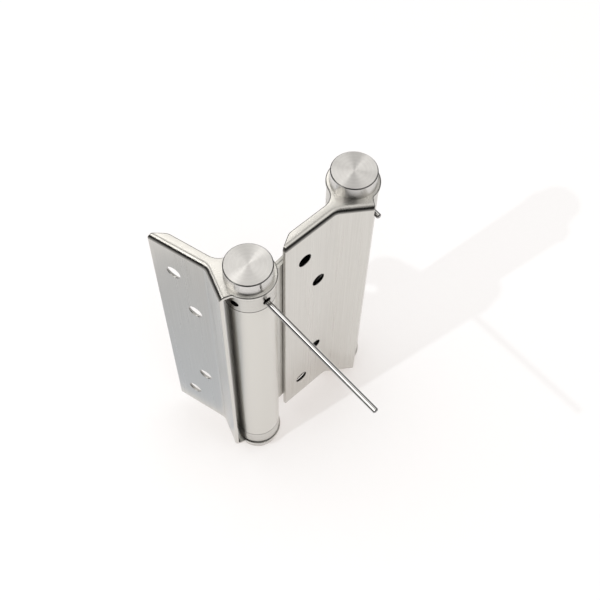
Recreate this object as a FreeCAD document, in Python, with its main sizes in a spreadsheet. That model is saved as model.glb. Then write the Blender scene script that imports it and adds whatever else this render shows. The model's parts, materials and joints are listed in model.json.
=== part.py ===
import FreeCAD, Part
import math
import os
import Sketcher

# Double action spring hinge for a cafe door, standing with one leaf swung open.
# The origin is the middle of the jamb leaf's mounting face: +X runs along that leaf to its free edge,
# +Y out of the face and +Z up along the two barrels. Lengths are in millimetres, angles in degrees.
# Each leaf is one pressed sheet whose two ears turn on a spindle through a barrel. One folded sheet makes
# both barrels and the two-ply web between them. A torsion spring in each barrel is held by a plug below
# and wound by a drilled collar above: a pin put into the collar then presses on the leaf's turned-out end.

doc = FreeCAD.newDocument("cafe_hinge")
dims = doc.addObject("Spreadsheet::Sheet", "dims")
ruler = doc.addObject("App::FeaturePython", "ruler")

SIZES = (
    # the two leaves
    ("leaf_height", "125", "leaf, from the top of one ear to the bottom of the other"),
    ("leaf_sheet", "1.4", "thickness of a leaf's sheet"),
    ("face_offset", "5.8", "barrel axis to the mounting face"),
    ("bend_reach", "13.5", "barrel axis to the bend, along the leaf"),
    ("leaf_reach", "37.1", "barrel axis to the leaf's free edge"),
    ("end_width", "13.4", "width of the turned-out end, from the bend"),
    ("bend_angle", "34.8", "turn of that end out of the leaf"),
    ("bend_radius", "4", "radius of the bend on the mounting face"),
    ("fold_radius", "2.2", "outside radius where the flanges fold off the face"),
    ("margin_radius", "0.5", "rounding of the upright edges on the mounting face"),
    ("face_corner", "2", "rounded corners of the face at the free edge"),
    ("flange_width", "4.6", "width of the top and bottom flanges"),
    ("flange_taper", "5.6", "length over which a flange narrows to the free edge"),
    ("flange_corner", "4", "rounding where that narrowing starts"),
    ("ear_radius", "9.7", "round ear at the end of a flange"),
    ("neck_radius", "6", "hollow between a flange and its ear"),
    ("throat_radius", "1.4", "hollow between an ear and the turned-out end"),
    ("screw_hole", "5.8", "screw hole at the mounting face"),
    ("countersink", "1.1", "depth of the countersink on the inner face"),
    ("outer_screw_reach", "27.9", "barrel axis to the outer screw holes"),
    ("inner_screw_reach", "20.7", "barrel axis to the inner screw holes"),
    ("outer_screw_height", "46.6", "outer screw holes from mid height"),
    ("inner_screw_height", "26", "inner screw holes from mid height"),
    # the folded sheet of the barrels and web
    ("axis_distance", "52.2", "between the two barrel axes"),
    ("barrel_radius", "9.2", "outside of a barrel"),
    ("centre_sheet", "1.1", "thickness of the barrels' sheet"),
    ("ply_gap", "0.2", "gap between the two plies of the web"),
    ("web_fillet", "1.5", "hollow where the web leaves a barrel"),
    # what is stacked between the ears
    ("washer_thickness", "0.5", "thrust washer"),
    ("washer_radius", "8.6", "outside of a thrust washer"),
    ("collar_height", "8", "tension collar above a barrel"),
    ("spigot_length", "9", "collar or plug inside a barrel"),
    ("edge_chamfer", "0.3", "broken edge of turned pieces"),
    # clearances
    ("axial_play", "0.05", "between faces that turn on each other"),
    ("running_gap", "0.08", "radial gap of a turning fit"),
    ("seat_gap", "0.03", "radial gap of a seated fit"),
    ("bar_gap", "0.6", "radial gap of the bar and pin in the collar's holes"),
    ("lock_gap", "0.1", "locking pin to the leaf's end"),
    ("spring_gap", "0.5", "spring to the barrel's wall and to its seats"),
    ("tang_gap", "0.2", "spring's tang in its hole"),
    ("thread_end_gap", "0.4", "end of a spindle to the bottom of its cap's hole"),
    # spindles and caps
    ("spindle_radius", "3", "spindle through the ears"),
    ("thread_radius", "2.5", "spindle's ends, which the caps screw onto"),
    ("thread_depth", "4", "depth of a cap's hole"),
    ("cap_height", "5.5", "cap above its ear"),
    ("cap_base_radius", "8.5", "cap at its ear"),
    ("cap_top_radius", "8", "cap's flat end"),
    ("cap_bevel", "0.35", "bevel round the cap's flat end"),
    # bar, pins and springs
    ("hole_count", "5", "radial holes of a collar"),
    ("hole_depth", "4.8", "depth of those holes"),
    ("bar_diameter", "2", "tommy bar and locking pin"),
    ("bar_reach", "61", "barrel axis to the far end of the tommy bar"),
    ("lock_reach", "14.3", "barrel axis to the far end of the locking pin"),
    ("plug_pin_diameter", "2.4", "pin through a barrel's wall into its plug"),
    ("plug_pin_depth", "3", "depth of that pin in the plug"),
    ("wire_width", "2", "spring wire, across the coil"),
    ("wire_height", "4.4", "spring wire, along the coil"),
    ("spring_turns", "7", "turns of a spring"),
    ("tang_length", "4", "spring's straight end in its hole"),
    # how it stands
    ("jamb_open", "100.3", "jamb leaf from the web"),
    ("door_open", "-4.7", "door leaf from the web, resting on it"),
    ("bar_wind", "-96", "tommy bar from the web"),
)
for row, (alias, number, meaning) in enumerate(SIZES, 1):
    dims.set("A%d" % row, meaning)
    dims.set("B%d" % row, number)
    dims.setAlias("B%d" % row, alias)
doc.recompute()

# Heights from the middle of the leaf
EAR_OUTSIDE = "dims.leaf_height / 2"
EAR_INSIDE = "(dims.leaf_height / 2 - dims.leaf_sheet)"
WASHER_OUTSIDE = "(%s - dims.axial_play)" % EAR_INSIDE
WASHER_INSIDE = "(%s - dims.washer_thickness)" % WASHER_OUTSIDE
COLLAR_OUTSIDE = "(%s - dims.axial_play)" % WASHER_INSIDE
COLLAR_INSIDE = "(%s - dims.collar_height)" % COLLAR_OUTSIDE
BARREL_END = "(%s - dims.axial_play)" % COLLAR_INSIDE
COLLAR_HOLE_HEIGHT = "(%s + dims.collar_height / 2)" % COLLAR_INSIDE
BAR_HEIGHT = "(%s - dims.bar_gap + dims.seat_gap)" % COLLAR_HOLE_HEIGHT
COLLAR_SPIGOT = "(%s - dims.spigot_length)" % COLLAR_INSIDE
PLUG_SPIGOT = "(%s - dims.spigot_length)" % BARREL_END
PLUG_PIN_HEIGHT = "(%s - dims.spigot_length / 2)" % BARREL_END
SPRING_FOOT = "(-%s + dims.spring_gap + dims.wire_height / 2)" % PLUG_SPIGOT
SPRING_HEAD = "(%s - dims.spring_gap - dims.wire_height / 2)" % COLLAR_SPIGOT

# Radii in a barrel
BORE = "(dims.barrel_radius - dims.centre_sheet)"
COIL = "(%s - dims.spring_gap - dims.wire_width / 2)" % BORE
SPINDLE_HOLE = "(dims.spindle_radius + dims.running_gap)"
TANG_HOLE = "(dims.wire_width / sqrt(2) + dims.tang_gap)"
COLLAR_HOLE_FLOOR = "(dims.barrel_radius - dims.hole_depth)"
PLUG_PIN_FLOOR = "(%s - dims.plug_pin_depth)" % BORE

# The leaf in its own frame: its inner face, the inside of the bend and the back of the flanges
INNER_FACE = "(dims.face_offset - dims.leaf_sheet)"
INNER_BEND = "(dims.bend_reach - dims.leaf_sheet * tan(dims.bend_angle / 2))"
FLANGE_BACK = "(dims.face_offset - dims.flange_width)"

# Its turned-out end: along its slope from the axis, and out from the axis
SLOPE_X = "cos(dims.bend_angle)"
SLOPE_Y = "sin(dims.bend_angle)"
END_X = "(dims.bend_reach - dims.end_width * %s)" % SLOPE_X
END_Y = "(dims.face_offset + dims.end_width * %s)" % SLOPE_Y
END_ALONG = "(dims.end_width + dims.face_offset * %s - dims.bend_reach * %s)" % (SLOPE_Y, SLOPE_X)
END_OUT = "(dims.bend_reach * %s + dims.face_offset * %s)" % (SLOPE_Y, SLOPE_X)
END_INNER_OUT = "(%s - dims.leaf_sheet)" % END_OUT
END_REACH = "sqrt(%s ^ 2 + %s ^ 2)" % (END_ALONG, END_INNER_OUT)
LOCK_TURN = "(atan(%s / %s) + asin((dims.bar_diameter / 2 + dims.lock_gap) / %s)) / 1 deg" % (
    END_ALONG, END_INNER_OUT, END_REACH)

# Each barrel's axis, its leaf's direction, and its spring's turn from the web
WEB_TURN = "-dims.jamb_open"
DOOR_TURN = "(180 - dims.jamb_open + dims.door_open)"
JAMB_AXIS = ("-(dims.bend_reach + dims.leaf_reach) / 2", "-dims.face_offset")
DOOR_AXIS = (JAMB_AXIS[0] + " + dims.axis_distance * cos(dims.jamb_open)",
             JAMB_AXIS[1] + " - dims.axis_distance * sin(dims.jamb_open)")
JAMB_WIND = "dims.bar_wind"
DOOR_WIND = "(180 + dims.door_open + 90 - dims.bend_angle + %s)" % LOCK_TURN

TOLERANCE = 1e-4
parts = []


def value(text):
    """The number that an expression over the sheet gives now."""
    return float(ruler.evalExpression(text))


def new_body(label):
    body = doc.addObject("PartDesign::Body", label)
    body.Label = label
    parts.append(body)
    return body


def place(body, axis, height="0", turn="0"):
    """Puts a body on a barrel's axis, at a height from mid leaf, turned about the axis."""
    for letter, text in zip("xyz", (axis[0], axis[1], height)):
        body.setExpression("Placement.Base." + letter, text)
    if turn != "0":
        body.setExpression("Placement.Rotation.Angle", turn)


def new_sketch(body, role, name, offset=None):
    """A sketch on one of the body's own planes, moved along the plane's normal by an offset."""
    sketch = body.newObject("Sketcher::SketchObject", name)
    plane = next(feature for feature in body.Origin.OriginFeatures if feature.Role == role)
    sketch.AttachmentSupport = (plane, [""])
    sketch.MapMode = "FlatFace"
    if offset:
        sketch.setExpression("AttachmentOffset.Base.z", offset)
    return sketch


def bind(sketch, constraint, text):
    index = sketch.addConstraint(constraint)
    sketch.setExpression("Constraints[%d]" % index, text)


def hold(sketch, geometry, point, x, y):
    """Holds a point of a sketch at two expressions, or on an axis where one is zero."""
    for kind, axis, text in (("DistanceX", -2, x), ("DistanceY", -1, y)):
        if text == "0":
            sketch.addConstraint(Sketcher.Constraint("PointOnObject", geometry, point, axis))
        else:
            bind(sketch, Sketcher.Constraint(kind, -1, 1, geometry, point, value(text)), text)


def polygon(sketch, points):
    corners = [FreeCAD.Vector(value(x), value(y), 0) for x, y in points]
    following = corners[1:] + corners[:1]
    sides = [sketch.addGeometry(Part.LineSegment(a, b)) for a, b in zip(corners, following)]
    for side, after in zip(sides, sides[1:] + sides[:1]):
        sketch.addConstraint(Sketcher.Constraint("Coincident", side, 2, after, 1))
    for side, (x, y) in zip(sides, points):
        hold(sketch, side, 1, x, y)


def rectangle(sketch, x_low, x_high, y_low, y_high):
    polygon(sketch, ((x_low, y_low), (x_high, y_low), (x_high, y_high), (x_low, y_high)))


def circle(sketch, x, y, radius):
    centre = FreeCAD.Vector(value(x), value(y), 0)
    index = sketch.addGeometry(Part.Circle(centre, FreeCAD.Vector(0, 0, 1), value(radius)))
    hold(sketch, index, 3, x, y)
    bind(sketch, Sketcher.Constraint("Radius", index, value(radius)), radius)


def corner_waste(sketch, x, y, radius, sign):
    """Outlines what rounding takes off a right-hand corner: the upper one, or the lower with a minus sign."""
    x_start = "%s - %s" % (x, radius)
    y_end = "%s %s %s" % (y, "+" if sign else "-", radius)
    start = FreeCAD.Vector(value(x_start), value(y), 0)
    corner = FreeCAD.Vector(value(x), value(y), 0)
    end = FreeCAD.Vector(value(x), value(y_end), 0)
    level = sketch.addGeometry(Part.LineSegment(start, corner))
    upright = sketch.addGeometry(Part.LineSegment(corner, end))
    centre = FreeCAD.Vector(start.x, end.y, 0)
    whole = Part.Circle(centre, FreeCAD.Vector(0, 0, 1), value(radius))
    first = -math.pi / 2 if sign else 0
    arc = sketch.addGeometry(Part.ArcOfCircle(whole, first, first + math.pi / 2))
    at_start, at_end = (1, 2) if sign else (2, 1)
    sketch.addConstraint(Sketcher.Constraint("Coincident", level, 2, upright, 1))
    sketch.addConstraint(Sketcher.Constraint("Coincident", upright, 2, arc, at_end))
    sketch.addConstraint(Sketcher.Constraint("Coincident", level, 1, arc, at_start))
    bind(sketch, Sketcher.Constraint("Radius", arc, value(radius)), radius)
    hold(sketch, level, 1, x_start, y)
    hold(sketch, level, 2, x, y)
    hold(sketch, upright, 2, x, y_end)


def pad(body, sketch, name, length):
    feature = body.newObject("PartDesign::Pad", name)
    feature.Profile = sketch
    feature.setExpression("Length", length)
    doc.recompute()
    return feature


def pocket(body, sketch, name, length=None, towards_normal=False):
    """A pocket of a given depth, or through everything on both sides where none is given."""
    feature = body.newObject("PartDesign::Pocket", name)
    feature.Profile = sketch
    if length:
        feature.setExpression("Length", length)
        feature.Reversed = towards_normal
    else:
        feature.Type = "ThroughAll"
        feature.Midplane = True
    before = feature.BaseFeature.Shape.Volume
    doc.recompute()
    if feature.Shape.Volume >= before - TOLERANCE:
        raise RuntimeError("%s of %s cuts nothing" % (name, body.Label))
    return feature


def revolve(body, name, points):
    """A turned piece: a closed outline of radius and height pairs, turned about the body's Z axis."""
    sketch = new_sketch(body, "XZ_Plane", name + "_outline")
    polygon(sketch, points)
    feature = body.newObject("PartDesign::Revolution", name)
    feature.Profile = sketch
    feature.ReferenceAxis = (sketch, ["V_Axis"])
    feature.Angle = 360
    doc.recompute()
    return feature


def edges_of(feature, wanted):
    names = ["Edge%d" % number for number, edge in enumerate(feature.Shape.Edges, 1) if wanted(edge)]
    if not names:
        raise RuntimeError("no edge of %s fits" % feature.Label)
    return names


def fillet(body, feature, name, radius, wanted):
    result = body.newObject("PartDesign::Fillet", name)
    result.Base = (feature, edges_of(feature, wanted))
    result.setExpression("Radius", radius)
    doc.recompute()
    return result


def chamfer(body, feature, name, size, wanted):
    result = body.newObject("PartDesign::Chamfer", name)
    result.Base = (feature, edges_of(feature, wanted))
    result.setExpression("Size", size)
    doc.recompute()
    return result


def near(a, b):
    return abs(a - b) < TOLERANCE


def upright_at(*points):
    """Tells the upright edges that stand at any of these points of the plan."""
    def wanted(edge):
        ends = [vertex.Point for vertex in edge.Vertexes]
        return len(ends) == 2 and any(all(near(p.x, x) and near(p.y, y) for p in ends) for x, y in points)
    return wanted


def round_at(radius, heights=None):
    """Tells the whole circles about the body's axis that have a radius, at given heights or any."""
    def wanted(edge):
        if not isinstance(edge.Curve, Part.Circle) or not edge.Closed:
            return False
        centre = edge.Curve.Center
        central = near(centre.x, 0) and near(centre.y, 0) and near(edge.Curve.Radius, radius)
        return central and (heights is None or any(near(centre.z, height) for height in heights))
    return wanted


def fold_at(height, face, end):
    """Tells the level edges, at a height either way, along a leaf's face or its turned-out end."""
    def wanted(edge):
        middle = edge.valueAt((edge.FirstParameter + edge.LastParameter) / 2)
        level = all(near(abs(point.z), value(height)) for point in (edge.Vertexes[0].Point, middle))
        on_face = near(middle.y, value(face)) and middle.x > value(INNER_BEND)
        on_end = near(middle.x * value(SLOPE_Y) + middle.y * value(SLOPE_X), value(end))
        return level and (on_face or on_end)
    return wanted


def leaf_blank(body, label):
    """The bent face and, above and below it, a flange that grows into a round ear."""
    bend = ("dims.bend_reach", "dims.face_offset")
    outer_side = (("dims.leaf_reach", "dims.face_offset"), bend, (END_X, END_Y))
    face = new_sketch(body, "XY_Plane", label + "_section", "-" + EAR_OUTSIDE)
    end_corner = (END_X + " - dims.leaf_sheet * " + SLOPE_Y, END_Y + " - dims.leaf_sheet * " + SLOPE_X)
    polygon(face, outer_side + (end_corner, (INNER_BEND, INNER_FACE), ("dims.leaf_reach", INNER_FACE)))
    pad(body, face, label + "_face", "dims.leaf_height")
    end_root = ("-%s * %s" % (END_ALONG, SLOPE_X), "%s * %s" % (END_ALONG, SLOPE_Y))
    for end, foot in (("top", EAR_INSIDE), ("bottom", "-" + EAR_OUTSIDE)):
        flange = new_sketch(body, "XY_Plane", "%s_%s_flange_outline" % (label, end), foot)
        polygon(flange, outer_side + (end_root, ("0", FLANGE_BACK), ("dims.leaf_reach", FLANGE_BACK)))
        pad(body, flange, "%s_%s_flange" % (label, end), "dims.leaf_sheet")
        ear = new_sketch(body, "XY_Plane", "%s_%s_ear_outline" % (label, end), foot)
        circle(ear, "0", "0", "dims.ear_radius")
        shape = pad(body, ear, "%s_%s_ear" % (label, end), "dims.leaf_sheet")
    return shape


def leaf_bends(body, label, shape):
    """The bend of the turned-out end, the hollows beside the ears, and the folds of the flanges."""
    bend = (value("dims.bend_reach"), value("dims.face_offset"))
    shape = fillet(body, shape, label + "_bend", "dims.bend_radius", upright_at(bend))
    inside = (value(INNER_BEND), value(INNER_FACE))
    back_radius = "dims.bend_radius + dims.leaf_sheet"
    shape = fillet(body, shape, label + "_bend_back", back_radius, upright_at(inside))
    neck = (value("sqrt(dims.ear_radius ^ 2 - %s ^ 2)" % FLANGE_BACK), value(FLANGE_BACK))
    shape = fillet(body, shape, label + "_necks", "dims.neck_radius", upright_at(neck))
    out = "sqrt(dims.ear_radius ^ 2 - %s ^ 2)" % END_ALONG
    throat = (value("%s * %s - %s * %s" % (out, SLOPE_Y, END_ALONG, SLOPE_X)),
              value("%s * %s + %s * %s" % (out, SLOPE_X, END_ALONG, SLOPE_Y)))
    shape = fillet(body, shape, label + "_throats", "dims.throat_radius", upright_at(throat))
    inner_fold = fold_at(EAR_INSIDE, INNER_FACE, END_INNER_OUT)
    shape = fillet(body, shape, label + "_folds_back", "dims.fold_radius - dims.leaf_sheet", inner_fold)
    outer_fold = fold_at(EAR_OUTSIDE, "dims.face_offset", END_OUT)
    return fillet(body, shape, label + "_folds", "dims.fold_radius", outer_fold)


def leaf_margins(body, label, shape):
    """The narrowed ends of the flanges, the rounded upright edges, and the face's rounded corners."""
    taper = "dims.leaf_reach - dims.flange_taper"
    ends = new_sketch(body, "XY_Plane", label + "_flange_ends_outline")
    polygon(ends, ((taper, FLANGE_BACK), ("dims.leaf_reach", FLANGE_BACK), ("dims.leaf_reach", INNER_FACE)))
    shape = pocket(body, ends, label + "_flange_ends")
    narrowing = (value(taper), value(FLANGE_BACK))
    shape = fillet(body, shape, label + "_flange_corners", "dims.flange_corner", upright_at(narrowing))
    free_edge = (value("dims.leaf_reach"), value("dims.face_offset"))
    end_edge = (value(END_X), value(END_Y))
    fillet(body, shape, label + "_margins", "dims.margin_radius", upright_at(free_edge, end_edge))
    corners = new_sketch(body, "XZ_Plane", label + "_face_corners_outline")
    for sign in ("", "-"):
        corner_waste(corners, "dims.leaf_reach", sign + EAR_OUTSIDE, "dims.face_corner", sign)
    pocket(body, corners, label + "_face_corners")


def leaf_holes(body, label):
    """Four screw holes, countersunk on the inner face, and the spindle's hole in each ear."""
    screws = new_sketch(body, "XZ_Plane", label + "_screw_centres")
    for x, z in (("dims.outer_screw_reach", "dims.outer_screw_height"),
                 ("dims.inner_screw_reach", "dims.inner_screw_height")):
        for sign in ("", "-"):
            circle(screws, x, sign + z, "dims.screw_hole / 2")
    shape = pocket(body, screws, label + "_screw_holes")

    def on_inner_face(edge):
        if not isinstance(edge.Curve, Part.Circle):
            return False
        at_hole = near(edge.Curve.Radius, value("dims.screw_hole / 2"))
        return at_hole and near(edge.Curve.Center.y, value(INNER_FACE))
    chamfer(body, shape, label + "_countersinks", "dims.countersink", on_inner_face)
    bearing = new_sketch(body, "XY_Plane", label + "_spindle_outline")
    circle(bearing, "0", "0", "dims.spindle_radius + dims.seat_gap")
    pocket(body, bearing, label + "_spindle_holes")


def make_leaf(label, axis, turn):
    """One pressed sheet: the face, its turned-out end, and two flanges that grow into round ears."""
    body = new_body(label)
    shape = leaf_blank(body, label)
    shape = leaf_bends(body, label, shape)
    leaf_margins(body, label, shape)
    leaf_holes(body, label)
    place(body, axis, turn=turn)


def make_barrels():
    """One sheet folded back on itself: a barrel at each end and two plies of web between them."""
    body = new_body("barrel_web")
    outside = "(dims.centre_sheet + dims.ply_gap / 2)"
    height = "2 * " + BARREL_END
    foot = "-" + BARREL_END
    web = new_sketch(body, "XY_Plane", "web_outline", foot)
    rectangle(web, "0", "dims.axis_distance", "-" + outside, outside)
    shape = pad(body, web, "web", height)
    for end, x in (("jamb", "0"), ("door", "dims.axis_distance")):
        barrel = new_sketch(body, "XY_Plane", end + "_barrel_outline", foot)
        circle(barrel, x, "0", "dims.barrel_radius")
        shape = pad(body, barrel, end + "_barrel", height)
    root = value("sqrt(dims.barrel_radius ^ 2 - %s ^ 2)" % outside)
    corners = [(x, y * value(outside)) for x in (root, value("dims.axis_distance") - root) for y in (-1, 1)]
    shape = fillet(body, shape, "web_roots", "dims.web_fillet", upright_at(*corners))
    slit = new_sketch(body, "XY_Plane", "ply_gap_outline")
    rectangle(slit, "0", "dims.axis_distance", "-dims.ply_gap / 2", "dims.ply_gap / 2")
    pocket(body, slit, "ply_gap")
    for end, x in (("jamb", "0"), ("door", "dims.axis_distance")):
        bore = new_sketch(body, "XY_Plane", end + "_bore_outline")
        circle(bore, x, "0", BORE)
        pocket(body, bore, end + "_bore")
    pins = new_sketch(body, "XZ_Plane", "plug_pin_centres")
    for x in ("0", "dims.axis_distance"):
        circle(pins, x, "-" + PLUG_PIN_HEIGHT, "dims.plug_pin_diameter / 2 + dims.seat_gap")
    pocket(body, pins, "plug_pin_holes", "dims.barrel_radius")
    place(body, JAMB_AXIS, turn=WEB_TURN)


def make_collar(label, axis, wind):
    """The tension collar: a drilled ring over the barrel, with a spigot in it that takes the spring's end."""
    body = new_body(label)
    spigot = "(%s - dims.running_gap)" % BORE
    shape = revolve(body, label + "_turning", (
        (SPINDLE_HOLE, COLLAR_SPIGOT), (spigot, COLLAR_SPIGOT), (spigot, COLLAR_INSIDE),
        ("dims.barrel_radius", COLLAR_INSIDE), ("dims.barrel_radius", COLLAR_OUTSIDE),
        (SPINDLE_HOLE, COLLAR_OUTSIDE)))
    shape = chamfer(body, shape, label + "_edges", "dims.edge_chamfer", round_at(value("dims.barrel_radius")))
    tang = new_sketch(body, "XY_Plane", label + "_tang_outline", COLLAR_SPIGOT)
    circle(tang, COIL, "0", TANG_HOLE)
    pocket(body, tang, label + "_tang_hole", "dims.tang_length + dims.tang_gap", towards_normal=True)
    drill = new_sketch(body, "YZ_Plane", label + "_drill_outline", COLLAR_HOLE_FLOOR)
    circle(drill, "0", COLLAR_HOLE_HEIGHT, "dims.bar_diameter / 2 + dims.bar_gap")
    hole = pocket(body, drill, label + "_drilling", "dims.hole_depth", towards_normal=True)
    holes = body.newObject("PartDesign::PolarPattern", label + "_drillings")
    holes.Originals = [hole]
    upright = next(feature for feature in body.Origin.OriginFeatures if feature.Role == "Z_Axis")
    holes.Axis = (upright, [""])
    holes.Angle = 360
    holes.setExpression("Occurrences", "dims.hole_count")
    body.Tip = holes
    doc.recompute()
    place(body, axis, turn="%s + %s" % (WEB_TURN, wind))


def make_plug(label, axis, wind):
    """The lower plug: it closes the barrel, holds the spring's lower end and is pinned through the wall."""
    body = new_body(label)
    spigot = "(%s - dims.seat_gap)" % BORE
    shape = revolve(body, label + "_turning", (
        (SPINDLE_HOLE, "-" + COLLAR_OUTSIDE), ("dims.barrel_radius", "-" + COLLAR_OUTSIDE),
        ("dims.barrel_radius", "-" + BARREL_END), (spigot, "-" + BARREL_END),
        (spigot, "-" + PLUG_SPIGOT), (SPINDLE_HOLE, "-" + PLUG_SPIGOT)))
    shape = chamfer(body, shape, label + "_edges", "dims.edge_chamfer", round_at(value("dims.barrel_radius")))
    tang = new_sketch(body, "XY_Plane", label + "_tang_outline", "-" + PLUG_SPIGOT)
    circle(tang, "%s * cos(%s)" % (COIL, wind), "%s * sin(%s)" % (COIL, wind), TANG_HOLE)
    pocket(body, tang, label + "_tang_hole", "dims.tang_length + dims.tang_gap")
    drill = new_sketch(body, "XZ_Plane", label + "_pin_outline", "-" + PLUG_PIN_FLOOR)
    circle(drill, "0", "-" + PLUG_PIN_HEIGHT, "dims.plug_pin_diameter / 2 + dims.seat_gap")
    pocket(body, drill, label + "_pin_hole", "dims.barrel_radius")
    place(body, axis, turn=WEB_TURN)


def make_spring(label, axis, wind):
    """A torsion spring of flat wire, with a straight tang at each end that sits in its hole."""
    body = new_body(label)
    wire = new_sketch(body, "XZ_Plane", label + "_wire")
    wire.setExpression("AttachmentOffset.Base.y", SPRING_FOOT)
    inner = "%s - dims.wire_width / 2" % COIL
    outer = "%s + dims.wire_width / 2" % COIL
    rectangle(wire, inner, outer, "-dims.wire_height / 2", "dims.wire_height / 2")
    coil = body.newObject("PartDesign::AdditiveHelix", label + "_coil")
    coil.Profile = wire
    coil.ReferenceAxis = (wire, ["V_Axis"])
    coil.Mode = "height-turns-angle"
    coil.setExpression("Height", "%s - %s" % (SPRING_HEAD, SPRING_FOOT))
    coil.setExpression("Turns", "dims.spring_turns")
    doc.recompute()
    half = "dims.wire_width / 2"
    length = "dims.tang_length + dims.spring_gap + dims.wire_height / 2"
    for end, foot in (("head", SPRING_HEAD), ("foot", "%s - (%s)" % (SPRING_FOOT, length))):
        tang = new_sketch(body, "XY_Plane", "%s_%s_outline" % (label, end), foot)
        rectangle(tang, inner, outer, "-" + half, half)
        pad(body, tang, "%s_%s_tang" % (label, end), length)
    place(body, axis, turn="%s + %s" % (WEB_TURN, wind))


def make_spindle(label, axis):
    """The spindle: a round bar through both ears, with reduced ends for the caps."""
    body = new_body(label)
    end = "(%s + dims.thread_depth - dims.thread_end_gap)" % EAR_OUTSIDE
    shape = revolve(body, label + "_turning", (
        ("0", "-" + end), ("dims.thread_radius", "-" + end), ("dims.thread_radius", "-" + EAR_OUTSIDE),
        ("dims.spindle_radius", "-" + EAR_OUTSIDE), ("dims.spindle_radius", EAR_OUTSIDE),
        ("dims.thread_radius", EAR_OUTSIDE), ("dims.thread_radius", end), ("0", end)))
    ends = round_at(value("dims.thread_radius"), (value(end), -value(end)))
    chamfer(body, shape, label + "_ends", "dims.edge_chamfer", ends)
    place(body, axis)


def make_cap(label, axis, side):
    """A turned cap, a little tapered, that screws onto a spindle's end and keeps the ear on it."""
    body = new_body(label)
    hole = "(dims.thread_radius + dims.seat_gap)"
    bevel_foot = "dims.cap_height - dims.cap_bevel"
    revolve(body, label + "_turning", (
        (hole, "0"), ("dims.cap_base_radius", "0"), ("dims.cap_top_radius + dims.cap_bevel", bevel_foot),
        ("dims.cap_top_radius", "dims.cap_height"), ("0", "dims.cap_height"),
        ("0", "dims.thread_depth"), (hole, "dims.thread_depth")))
    if side == "bottom":
        body.Placement = FreeCAD.Placement(FreeCAD.Vector(), FreeCAD.Rotation(FreeCAD.Vector(1, 0, 0), 180))
    place(body, axis, EAR_OUTSIDE if side == "top" else "-" + EAR_OUTSIDE)


def make_washer(label, axis, side):
    """A thrust washer between an ear and the piece that turns under it."""
    body = new_body(label)
    ring = new_sketch(body, "XY_Plane", label + "_outline")
    for radius in ("dims.washer_radius", SPINDLE_HOLE):
        circle(ring, "0", "0", radius)
    pad(body, ring, label + "_ring", "dims.washer_thickness")
    place(body, axis, WASHER_INSIDE if side == "top" else "-" + WASHER_OUTSIDE)


def make_peg(label, axis, turn, height, diameter, inner, outer):
    """A round bar that lies across a barrel, from one distance off its axis to another."""
    body = new_body(label)
    section = new_sketch(body, "YZ_Plane", label + "_section", inner)
    circle(section, "0", "0", diameter + " / 2")
    shape = pad(body, section, label + "_bar", "%s - %s" % (outer, inner))
    chamfer(body, shape, label + "_ends", "dims.edge_chamfer", lambda edge: edge.Closed)
    place(body, axis, height, turn)


def check_all():
    """Stops with a message if any object failed or any sub-part is not one sound solid."""
    for item in doc.Objects:
        if any(state in ("Invalid", "Error") for state in item.State):
            raise RuntimeError("%s failed: %s" % (item.Label, item.State))
    for body in parts:
        if body.Shape.isNull() or not body.Shape.isValid() or len(body.Shape.Solids) != 1:
            raise RuntimeError("%s is not one sound solid" % body.Label)


make_barrels()
SIDES = (("jamb", JAMB_AXIS, "0", JAMB_WIND), ("door", DOOR_AXIS, DOOR_TURN, DOOR_WIND))
for side, axis, turn, wind in SIDES:
    make_leaf(side + "_leaf", axis, turn)
    make_spindle(side + "_spindle", axis)
    make_collar(side + "_tension_collar", axis, wind)
    make_spring(side + "_spring", axis, wind)
    make_plug(side + "_lower_plug", axis, wind)
    make_peg(side + "_plug_pin", axis, "90 + " + WEB_TURN, "-" + PLUG_PIN_HEIGHT,
             "dims.plug_pin_diameter", PLUG_PIN_FLOOR, "dims.barrel_radius")
    for end in ("top", "bottom"):
        make_cap("%s_%s_cap" % (side, end), axis, end)
        make_washer("%s_%s_washer" % (side, end), axis, end)
make_peg("tommy_bar", JAMB_AXIS, "%s + %s" % (WEB_TURN, JAMB_WIND), BAR_HEIGHT,
         "dims.bar_diameter", COLLAR_HOLE_FLOOR, "dims.bar_reach")
make_peg("locking_pin", DOOR_AXIS, "%s + %s" % (WEB_TURN, DOOR_WIND), BAR_HEIGHT,
         "dims.bar_diameter", COLLAR_HOLE_FLOOR, "dims.lock_reach")
doc.recompute()
check_all()

os.makedirs("parts", exist_ok=True)
for body in parts:
    body.Shape.exportStep("parts/%s.step" % body.Label)
    print(body.Label, round(body.Shape.Volume, 1))
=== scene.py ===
import json
import math
from collections import namedtuple
import bmesh
import bpy
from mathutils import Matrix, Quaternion, Vector


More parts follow.
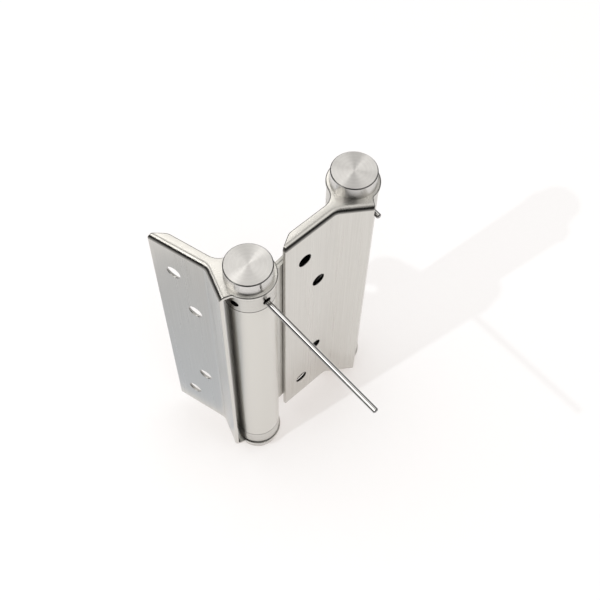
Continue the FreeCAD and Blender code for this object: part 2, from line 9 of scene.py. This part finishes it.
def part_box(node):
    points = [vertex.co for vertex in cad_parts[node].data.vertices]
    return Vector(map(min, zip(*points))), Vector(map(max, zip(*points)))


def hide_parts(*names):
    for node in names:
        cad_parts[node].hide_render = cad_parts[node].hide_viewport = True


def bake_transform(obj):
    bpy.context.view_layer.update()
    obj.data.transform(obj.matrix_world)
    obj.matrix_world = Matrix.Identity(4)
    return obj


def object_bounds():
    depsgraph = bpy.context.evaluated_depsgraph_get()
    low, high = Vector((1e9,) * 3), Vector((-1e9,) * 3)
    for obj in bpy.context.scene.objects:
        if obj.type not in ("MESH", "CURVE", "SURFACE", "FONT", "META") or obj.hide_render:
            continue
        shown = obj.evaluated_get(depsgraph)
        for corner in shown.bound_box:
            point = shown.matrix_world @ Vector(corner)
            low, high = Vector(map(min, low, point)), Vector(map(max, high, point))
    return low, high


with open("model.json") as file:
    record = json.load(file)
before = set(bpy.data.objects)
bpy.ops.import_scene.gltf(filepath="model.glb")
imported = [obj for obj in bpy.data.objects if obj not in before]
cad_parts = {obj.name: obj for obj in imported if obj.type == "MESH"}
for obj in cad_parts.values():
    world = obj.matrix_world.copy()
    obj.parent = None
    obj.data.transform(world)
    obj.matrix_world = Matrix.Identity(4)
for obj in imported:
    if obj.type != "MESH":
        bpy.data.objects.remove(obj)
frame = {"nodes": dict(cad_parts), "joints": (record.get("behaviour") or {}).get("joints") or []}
cad_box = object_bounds()

# The camera of the photograph, in the part's own frame
CAMERA_AT = Vector((-0.12399, 0.12573, 0.32614))
CAMERA_LOOKS = Vector((0.2594, -0.4326, -0.8635))
CAMERA_ROLL = math.radians(1.487)
CAMERA_LENS = 57.1

# Where the two barrels stand, which the turned pieces' rings go round
AXIS_OF = {joint["name"]: joint["pos_m"] for joint in frame["joints"]}
JAMB_AXIS = AXIS_OF["centre_swing"]
DOOR_AXIS = AXIS_OF["door_swing"]

# Floor: its glow and its shaded colour to the eye, and its plain colour to the light that falls on it
FLOOR_HEIGHT = cad_box[0].z
FLOOR_HALF = 4.0
FLOOR_GLOW = (0.390, 0.330, 0.290, 1)
FLOOR_SHADE = (0.62, 0.66, 0.69, 1)
FLOOR_PLAIN = (0.86, 0.86, 0.86, 1)

# Light: a small key lamp, placed by where the shadow falls in the photograph, and an even white sky
KEY_DIRECTION = Vector((0.236, 0.566, 0.70))
KEY_DISTANCE = 0.7
KEY_SIZE = 0.010
KEY_POWER = 1.05
AMBIENT = 0.95

# Surround: a bowl that only the metal mirrors, from its light foot over a dark wall to its ceiling
SURROUND_RADIUS = 1.6
SURROUND_RIM = 0.35
FOOT_GREY = 0.52
FOOT_TOP = math.radians(-7)
WALL_FOOT = math.radians(8)
WALL_GREY = 0.04
WALL_TOP = math.radians(33)
CEILING_EDGE = math.radians(47)
CEILING_GREY = 0.75
CEILING_COLOUR = (1, 0.987, 0.963, 1)
# Patches of the ceiling: direction, full within and none beyond these angles in degrees, and strength.
# The last one is dark, where the camera and its stand keep the light off.
PATCHES = (
    ((0.45, -0.35, 0.82), 5, 14, 1.8),
    ((0.36, -0.65, 0.67), 5, 14, 1.3),
    ((0.47, 0.36, 0.80), 5, 13, 3.0),
    ((0.31, 0.64, 0.70), 5, 11, 4.0),
    ((-0.55, -0.35, 0.76), 8, 28, 0.7),
    ((-0.28, 0.46, 0.84), 12, 27, -0.74),
)
# A grey card on the floor before the jamb leaf, from its colour near the leaf to its colour far from it
CARD_CORNER = (-0.014, 0.003)
CARD_SIZE = (0.090, 0.092)
CARD_LIFT = 0.0005
CARD_NEAR = (0.655, 0.685, 0.73, 1)
CARD_FAR = (0.70, 0.685, 0.675, 1)

# Metals: colour and roughness from the streaks' dark to their light, how far the grain draws a highlight out,
# how deep it is, the share of colour left in a tight corner by painted shade, and the share of roughness on
# upright sides
Metal = namedtuple("Metal", "dark light smooth rough grain depth corner side")
LEAF_SHEET = Metal((0.56, 0.545, 0.51, 1), (0.72, 0.705, 0.67, 1), 0.24, 0.34, 0.85, 0.25, 0.95, 1.0)
BARREL_SHEET = Metal((0.635, 0.62, 0.58, 1), (0.67, 0.655, 0.615, 1), 0.22, 0.28, 0.8, 0.04, 0.1, 1.0)
CAP_STEEL = Metal((0.60, 0.585, 0.565, 1), (0.82, 0.805, 0.785, 1), 0.32, 0.42, 0.97, 0.5, 0.9, 0.6)
TURNED_STEEL = Metal((0.58, 0.565, 0.53, 1), (0.67, 0.655, 0.62, 1), 0.24, 0.34, 0.6, 0.2, 0.2, 1.0)
BRIGHT_BAR = Metal((0.70, 0.69, 0.68, 1), (0.80, 0.79, 0.78, 1), 0.05, 0.10, 0.0, 0.1, 0.6, 1.0)
SPRING_WIRE = Metal((0.20, 0.20, 0.20, 1), (0.32, 0.31, 0.30, 1), 0.35, 0.5, 0.0, 0.1, 0.6, 1.0)
# Painted shade in tight corners: how far a corner is looked for, and how many samples it takes
CORNER_REACH = 0.013
CORNER_SAMPLES = 8
# Grain: how close its marks are across and along the sheet, round a turned piece and on drawn wire;
# how much the roughness drifts; the depth of a mark; and the turn that draws highlights out across the grain
SHEET_STREAK = (2600, 2600, 26)
SHEET_CLOUD = (260, 260, 7)
RING_STREAK = 3600.0
RING_CLOUD = 90.0
WIRE_STREAK = 1500.0
WIRE_CLOUD = 120.0
ROUGHNESS_DRIFT = 0.04
MARK_DEPTH = 0.00005
GRAIN_TURN = 0.25
# A little tilt of the sheet's grain, so that level flanges have a grain too
GRAIN_TILT = 0.05
# How level a surface is where the share of roughness for upright sides ends, and where the full one starts
SIDE_STEPS = (0.2, 0.9)
# Painted shade along folds: the steepness where this starts, is full, fades and ends, and the light left
FOLD_STEPS = (0.04, 0.22, 0.55, 0.90)
FOLD_PAINTED_SHADE = 0.45
# The same painted shade for the bevels of turned pieces
BEVEL_STEPS = (0.30, 0.50, 0.85, 0.97)
BEVEL_PAINTED_SHADE = 0.35
# A bar's sides carry painted shade: how level the surface is where that is full and where it ends
BAR_STEPS = (0.40, 0.85)
BAR_PAINTED_SHADE = 0.42
# Edges sharper than this stay sharp, and corners nearer than this become one
SMOOTH_ANGLE = math.radians(32)
WELD = 1e-6
# The straight end of a spring, which stays whole in its plug or its collar
SPRING_END = 0.0075


def add(tree, kind, settings=None, **inputs):
    """A new node of a tree, with its settings, and its inputs set or linked by name."""
    node = tree.nodes.new(kind)
    for key, item in (settings or {}).items():
        setattr(node, key, item)
    for key, item in inputs.items():
        socket = node.inputs[key.replace("_", " ")]
        if isinstance(item, bpy.types.NodeSocket):
            tree.links.new(item, socket)
        else:
            socket.default_value = item
    return node


def new_material(name):
    """An empty material and its node tree."""
    material = bpy.data.materials.new(name)
    material.use_nodes = True
    tree = material.node_tree
    tree.nodes.clear()
    return material, tree


def spread(tree, value, low, high, start=0.0, stop=1.0, soft=False):
    """A value brought from one range to another, with soft ends if asked."""
    node = add(tree, "ShaderNodeMapRange", Value=value)
    node.interpolation_type = "SMOOTHSTEP" if soft else "LINEAR"
    node.inputs["From Min"].default_value = start
    node.inputs["From Max"].default_value = stop
    node.inputs["To Min"].default_value = low
    node.inputs["To Max"].default_value = high
    return node.outputs["Result"]


def combine(tree, operation, first, second):
    """Two values added, multiplied or compared."""
    node = add(tree, "ShaderNodeMath", {"operation": operation})
    tree.links.new(first, node.inputs[0])
    tree.links.new(second, node.inputs[1])
    return node.outputs["Value"]


def blend(tree, factor, first, second):
    """A colour between two."""
    node = add(tree, "ShaderNodeMix", {"data_type": "RGBA"})
    tree.links.new(factor, node.inputs["Factor"])
    node.inputs["A"].default_value = first
    node.inputs["B"].default_value = second
    return node.outputs["Result"]


def finish_metal(tree, metal, streak, cloud, tangent, painted_shade_factor=None):
    """A bare metal that follows a fine streak and a slow cloud, with painted shade in tight corners and any
    painted shade it is given.
    """
    # Painted shade: the colour is darkened in tight corners, where shade falls
    near = add(tree, "ShaderNodeAmbientOcclusion", {"samples": CORNER_SAMPLES}, Distance=CORNER_REACH)
    shade = spread(tree, near.outputs["AO"], metal.corner, 1.0)
    # Painted shade from folds, bevels or bar sides darkens the colour further
    if painted_shade_factor is not None:
        shade = combine(tree, "MULTIPLY", shade, painted_shade_factor)
    shaded = add(tree, "ShaderNodeMix", {"data_type": "RGBA", "blend_type": "MULTIPLY"})
    shaded.inputs["Factor"].default_value = 1.0
    tree.links.new(blend(tree, streak, metal.dark, metal.light), shaded.inputs["A"])
    tree.links.new(shade, shaded.inputs["B"])
    streaky = spread(tree, streak, metal.smooth, metal.rough)
    uneven = combine(tree, "ADD", streaky, spread(tree, cloud, -ROUGHNESS_DRIFT, ROUGHNESS_DRIFT))
    sides = spread(tree, lean(tree), metal.side, 1.0, *SIDE_STEPS, soft=True)
    rough = combine(tree, "MULTIPLY", uneven, sides)
    dents = add(tree, "ShaderNodeBump", Height=streak, Strength=metal.depth, Distance=MARK_DEPTH)
    surface = add(tree, "ShaderNodeBsdfPrincipled", Base_Color=shaded.outputs["Result"], Metallic=1.0,
                  Roughness=rough, Anisotropic=metal.grain, Anisotropic_Rotation=GRAIN_TURN,
                  Normal=dents.outputs["Normal"], Tangent=tangent)
    show(tree, surface.outputs["BSDF"])


def show(tree, shader):
    """Makes a shader the surface of its material."""
    output = add(tree, "ShaderNodeOutputMaterial")
    tree.links.new(shader, output.inputs["Surface"])


def noise(tree, vector, scale, detail):
    """A soft random value from none to one."""
    node = add(tree, "ShaderNodeTexNoise", Vector=vector, Scale=scale, Detail=detail)
    return node.outputs["Fac"]


def lean(tree):
    """How far the surface leans from upright, none, to level, one."""
    normal = add(tree, "ShaderNodeNewGeometry").outputs["Normal"]
    size = add(tree, "ShaderNodeMath", {"operation": "ABSOLUTE"})
    tree.links.new(add(tree, "ShaderNodeSeparateXYZ", Vector=normal).outputs["Z"], size.inputs[0])
    return size.outputs["Value"]


def slope_painted_shade(tree, steps, grey):
    """Painted shade on a fold or a bevel, by how far the surface leans."""
    start, full, fade, end = steps
    rising = spread(tree, lean(tree), 0.0, 1.0, start, full, soft=True)
    falling = spread(tree, lean(tree), 1.0, 0.0, fade, end, soft=True)
    return spread(tree, combine(tree, "MULTIPLY", rising, falling), 1.0, grey)


def brushed(name, metal):
    """Sheet brushed along its height: long upright streaks."""
    material, tree = new_material(name)
    place = add(tree, "ShaderNodeTexCoord").outputs["Object"]
    stretched = add(tree, "ShaderNodeMapping", Vector=place, Scale=SHEET_STREAK).outputs["Vector"]
    streak = noise(tree, stretched, scale=1.0, detail=4.0)
    broad = add(tree, "ShaderNodeMapping", Vector=place, Scale=SHEET_CLOUD).outputs["Vector"]
    cloud = noise(tree, broad, scale=1.0, detail=2.0)
    upright = add(tree, "ShaderNodeCombineXYZ", Y=GRAIN_TILT, Z=1.0).outputs["Vector"]
    # Painted shade along the folds
    finish_metal(tree, metal, streak, cloud, upright, slope_painted_shade(tree, FOLD_STEPS, FOLD_PAINTED_SHADE))
    return material


def turned(name, metal, axis):
    """Bar turned on a lathe: fine rings round its axis."""
    material, tree = new_material(name)
    place = add(tree, "ShaderNodeTexCoord").outputs["Object"]
    centred = add(tree, "ShaderNodeMapping", Vector=place, Location=(-axis[0], -axis[1], 0)).outputs["Vector"]
    parts = add(tree, "ShaderNodeSeparateXYZ", Vector=centred)
    flat = add(tree, "ShaderNodeCombineXYZ", X=parts.outputs["X"], Y=parts.outputs["Y"]).outputs["Vector"]
    reach = add(tree, "ShaderNodeVectorMath", {"operation": "LENGTH"})
    tree.links.new(flat, reach.inputs[0])
    ring = add(tree, "ShaderNodeCombineXYZ", X=reach.outputs["Value"], Y=parts.outputs["Z"]).outputs["Vector"]
    streak = noise(tree, ring, scale=RING_STREAK, detail=3.0)
    cloud = noise(tree, place, scale=RING_CLOUD, detail=2.0)
    around = add(tree, "ShaderNodeTangent", {"direction_type": "RADIAL", "axis": "Z"}).outputs["Tangent"]
    # Painted shade on the bevels
    finish_metal(tree, metal, streak, cloud, around, slope_painted_shade(tree, BEVEL_STEPS, BEVEL_PAINTED_SHADE))
    return material


def drawn(name, metal, side_painted_shade):
    """Drawn wire or bar: faint marks, no strong grain, and painted shade of a set grey on its sides."""
    material, tree = new_material(name)
    place = add(tree, "ShaderNodeTexCoord").outputs["Object"]
    streak = noise(tree, place, scale=WIRE_STREAK, detail=3.0)
    cloud = noise(tree, place, scale=WIRE_CLOUD, detail=2.0)
    upright = add(tree, "ShaderNodeCombineXYZ", Z=1.0).outputs["Vector"]
    # Painted shade on the upright sides
    sides = spread(tree, lean(tree), side_painted_shade, 1.0, *BAR_STEPS, soft=True)
    finish_metal(tree, metal, streak, cloud, upright, sides)
    return material


def smooth_by_angle():
    """A node group that shades curved faces smooth and keeps sharp edges sharp."""
    group = bpy.data.node_groups.new("smooth_by_angle", "GeometryNodeTree")
    group.interface.new_socket("Geometry", in_out="INPUT", socket_type="NodeSocketGeometry")
    group.interface.new_socket("Geometry", in_out="OUTPUT", socket_type="NodeSocketGeometry")
    source = group.nodes.new("NodeGroupInput")
    merge = group.nodes.new("GeometryNodeMergeByDistance")
    merge.inputs["Distance"].default_value = WELD
    faces = group.nodes.new("GeometryNodeSetShadeSmooth")
    angle = group.nodes.new("GeometryNodeInputMeshEdgeAngle")
    sharp = group.nodes.new("FunctionNodeCompare")
    sharp.operation = "GREATER_THAN"
    sharp.inputs["B"].default_value = SMOOTH_ANGLE
    edges = group.nodes.new("GeometryNodeSetShadeSmooth")
    edges.domain = "EDGE"
    edges.inputs["Shade Smooth"].default_value = False
    result = group.nodes.new("NodeGroupOutput")
    group.links.new(source.outputs["Geometry"], merge.inputs["Geometry"])
    group.links.new(merge.outputs["Geometry"], faces.inputs["Geometry"])
    group.links.new(faces.outputs["Geometry"], edges.inputs["Geometry"])
    group.links.new(angle.outputs["Unsigned Angle"], sharp.inputs["A"])
    group.links.new(sharp.outputs["Result"], edges.inputs["Selection"])
    group.links.new(edges.outputs["Geometry"], result.inputs["Geometry"])
    return group


def shade_smooth(thing, group):
    """Shades a piece by that node group."""
    thing.modifiers.new("smooth_by_angle", "NODES").node_group = group


def dress(group):
    """Gives every CAD node its metal and its smooth shading."""
    leaf = brushed("leaf_sheet", LEAF_SHEET)
    wire = drawn("spring_wire", SPRING_WIRE, side_painted_shade=1.0)
    bright = drawn("bright_bar", BRIGHT_BAR, side_painted_shade=BAR_PAINTED_SHADE)
    sheet = brushed("barrel_sheet", BARREL_SHEET)
    by_node = {"barrel_web": sheet, "tommy_bar": bright, "locking_pin": bright}
    for side, axis in (("jamb", JAMB_AXIS), ("door", DOOR_AXIS)):
        cap = turned(side + "_cap_steel", CAP_STEEL, axis)
        steel = turned(side + "_turned_steel", TURNED_STEEL, axis)
        for part in ("top_cap", "bottom_cap"):
            by_node["%s_%s" % (side, part)] = cap
        for part in ("tension_collar", "lower_plug", "spindle", "top_washer", "bottom_washer", "plug_pin"):
            by_node["%s_%s" % (side, part)] = steel
        by_node[side + "_spring"] = wire
        by_node[side + "_leaf"] = leaf
    for name, node in frame["nodes"].items():
        node.data.materials.clear()
        node.data.materials.append(by_node[name])
        shade_smooth(node, group)


def spring_piece(name, node, low, high, group):
    """A copy of a spring between two heights, closed where it is cut."""
    mesh = frame["nodes"][node].data.copy()
    shape = bmesh.new()
    shape.from_mesh(mesh)
    bmesh.ops.remove_doubles(shape, verts=shape.verts[:], dist=WELD)
    for height, outward in ((low, -1), (high, 1)):
        everything = shape.verts[:] + shape.edges[:] + shape.faces[:]
        cut = bmesh.ops.bisect_plane(shape, geom=everything, plane_co=(0, 0, height),
                                     plane_no=(0, 0, outward), clear_outer=True)
        rim = [edge for edge in cut["geom_cut"] if isinstance(edge, bmesh.types.BMEdge)]
        if rim:
            bmesh.ops.edgenet_fill(shape, edges=rim)
    bmesh.ops.triangulate(shape, faces=shape.faces[:])
    bmesh.ops.recalc_face_normals(shape, faces=shape.faces[:])
    shape.to_mesh(mesh)
    shape.free()
    piece = bpy.data.objects.new(name, mesh)
    bpy.context.scene.collection.objects.link(piece)
    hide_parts(node)
    shade_smooth(piece, group)
    return piece


def twist(piece):
    """Bakes a piece's placement into its mesh."""
    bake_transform(piece)


def wind_springs(group):
    """Springs cut to length and closed where cut: the jamb's spring whole, the door's spring
    in a lower and an upper half, each with its placement baked into its mesh."""
    low, high = (corner[2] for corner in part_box("jamb_spring"))
    whole = spring_piece("jamb_spring_wire", "jamb_spring", low - SPRING_END, high + SPRING_END, group)
    twist(whole)
    low, high = (corner[2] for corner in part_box("door_spring"))
    middle = (low + high) / 2
    lower = spring_piece("door_spring_lower_half", "door_spring", low - SPRING_END, middle, group)
    twist(lower)
    upper = spring_piece("door_spring_upper_half", "door_spring", middle, high + SPRING_END, group)
    twist(upper)


def seen_directly(tree):
    """One for what the camera sees, itself or in metal or glass, and none for light that falls elsewhere."""
    path = add(tree, "ShaderNodeLightPath")
    mirrored = combine(tree, "MAXIMUM", path.outputs["Is Glossy Ray"], path.outputs["Is Transmission Ray"])
    return combine(tree, "MAXIMUM", path.outputs["Is Camera Ray"], mirrored)


def place_on_stage(name, mesh):
    """A new object of the scene that isn't part of the hinge."""
    thing = bpy.data.objects.new(name, mesh)
    bpy.context.scene.collection.objects.link(thing)
    return thing


def make_plane(name, x, y, width, depth, height):
    """A level rectangle from its near left corner."""
    right, back = x + width, y + depth
    mesh = bpy.data.meshes.new(name)
    corners = [(x, y, height), (right, y, height), (right, back, height), (x, back, height)]
    mesh.from_pydata(corners, [], [(0, 1, 2, 3)])
    return place_on_stage(name, mesh)


def make_floor():
    """A pale floor, white to the eye, that still takes the object's shadow."""
    floor = make_plane("floor", -FLOOR_HALF, -FLOOR_HALF, 2 * FLOOR_HALF, 2 * FLOOR_HALF, FLOOR_HEIGHT)
    material, tree = new_material("pale_floor")
    plain = add(tree, "ShaderNodeBsdfDiffuse", Color=FLOOR_PLAIN)
    shade = add(tree, "ShaderNodeBsdfDiffuse", Color=FLOOR_SHADE)
    glow = add(tree, "ShaderNodeEmission", Color=FLOOR_GLOW)
    white = add(tree, "ShaderNodeAddShader")
    tree.links.new(shade.outputs["BSDF"], white.inputs[0])
    tree.links.new(glow.outputs["Emission"], white.inputs[1])
    choice = add(tree, "ShaderNodeMixShader", Fac=seen_directly(tree))
    tree.links.new(plain.outputs["BSDF"], choice.inputs[1])
    tree.links.new(white.outputs["Shader"], choice.inputs[2])
    show(tree, choice.outputs["Shader"])
    floor.data.materials.append(material)


def mirrored_only(thing):
    """Leaves a stage piece to the metal's reflections alone."""
    thing.visible_camera = False
    thing.visible_diffuse = False
    thing.visible_shadow = False
    thing.visible_transmission = False


def make_surround():
    """A bowl over the set: a light foot, a dark wall, and a grey ceiling with light and dark patches."""
    mesh = bpy.data.meshes.new("surround")
    ball = bmesh.new()
    bmesh.ops.create_uvsphere(ball, u_segments=48, v_segments=24, radius=SURROUND_RADIUS)
    ball.to_mesh(mesh)
    ball.free()
    surround = place_on_stage("surround", mesh)
    surround.location.z = FLOOR_HEIGHT + math.sqrt(SURROUND_RADIUS ** 2 - SURROUND_RIM ** 2)
    mirrored_only(surround)
    material, tree = new_material("wall_and_ceiling")
    direction = add(tree, "ShaderNodeVectorMath", {"operation": "NORMALIZE"})
    tree.links.new(add(tree, "ShaderNodeNewGeometry").outputs["Position"], direction.inputs[0])
    height = add(tree, "ShaderNodeSeparateXYZ", Vector=direction.outputs["Vector"]).outputs["Z"]
    foot = spread(tree, height, FOOT_GREY, WALL_GREY, math.sin(FOOT_TOP), math.sin(WALL_FOOT), soft=True)
    rise = CEILING_GREY - WALL_GREY
    ceiling = spread(tree, height, 0.0, rise, math.sin(WALL_TOP), math.sin(CEILING_EDGE), soft=True)
    total = combine(tree, "ADD", foot, ceiling)
    for centre, inside, outside, strength in PATCHES:
        nearness = add(tree, "ShaderNodeVectorMath", {"operation": "DOT_PRODUCT"})
        tree.links.new(direction.outputs["Vector"], nearness.inputs[0])
        nearness.inputs[1].default_value = Vector(centre).normalized()
        edge = math.cos(math.radians(outside))
        core = math.cos(math.radians(inside))
        patch = spread(tree, nearness.outputs["Value"], 0.0, strength, edge, core, soft=True)
        total = combine(tree, "ADD", total, patch)
    glow = add(tree, "ShaderNodeEmission", Color=CEILING_COLOUR, Strength=total)
    show(tree, glow.outputs["Emission"])
    mesh.materials.append(material)


def make_card():
    """The grey card, which the jamb leaf's face mirrors."""
    card = make_plane("card", *CARD_CORNER, *CARD_SIZE, FLOOR_HEIGHT + CARD_LIFT)
    mirrored_only(card)
    material, tree = new_material("grey_card")
    place = add(tree, "ShaderNodeNewGeometry").outputs["Position"]
    depth = add(tree, "ShaderNodeSeparateXYZ", Vector=place).outputs["Y"]
    away = spread(tree, depth, 0.0, 1.0, CARD_CORNER[1], CARD_CORNER[1] + CARD_SIZE[1])
    glow = add(tree, "ShaderNodeEmission", Color=blend(tree, away, CARD_NEAR, CARD_FAR))
    show(tree, glow.outputs["Emission"])
    card.data.materials.append(material)


def make_lamp(name, place, target, size, power):
    """A round lamp that lights and shades, but that the metal doesn't mirror."""
    data = bpy.data.lights.new(name, "AREA")
    data.shape = "DISK"
    data.size = size
    data.energy = power
    lamp = bpy.data.objects.new(name, data)
    lamp.location = place
    lamp.rotation_mode = "QUATERNION"
    lamp.rotation_quaternion = (target - place).to_track_quat("-Z", "Y")
    lamp.visible_glossy = False
    bpy.context.scene.collection.objects.link(lamp)


def make_light():
    """The key lamp over the hinge and the sky round it."""
    middle = (cad_box[0] + cad_box[1]) / 2
    make_lamp("key", middle + KEY_DIRECTION.normalized() * KEY_DISTANCE, middle, KEY_SIZE, KEY_POWER)
    world = bpy.data.worlds.new("studio")
    world.use_nodes = True
    tree = world.node_tree
    tree.nodes.clear()
    strength = spread(tree, seen_directly(tree), AMBIENT, 1.0)
    sky = add(tree, "ShaderNodeBackground", Color=(1, 1, 1, 1), Strength=strength)
    output = add(tree, "ShaderNodeOutputWorld")
    tree.links.new(sky.outputs["Background"], output.inputs["Surface"])
    bpy.context.scene.world = world


def make_camera():
    """The camera at the photograph's place."""
    data = bpy.data.cameras.new("camera")
    data.lens = CAMERA_LENS
    camera = bpy.data.objects.new("camera", data)
    camera.location = CAMERA_AT
    camera.rotation_mode = "QUATERNION"
    camera.rotation_quaternion = CAMERA_LOOKS.to_track_quat("-Z", "Y") @ Quaternion((0, 0, 1), CAMERA_ROLL)
    bpy.context.scene.collection.objects.link(camera)
    bpy.context.scene.camera = camera


smoothing = smooth_by_angle()
dress(smoothing)
wind_springs(smoothing)
make_floor()
make_surround()
make_card()
make_light()
make_camera()
bpy.context.scene.view_settings.view_transform = "Standard"
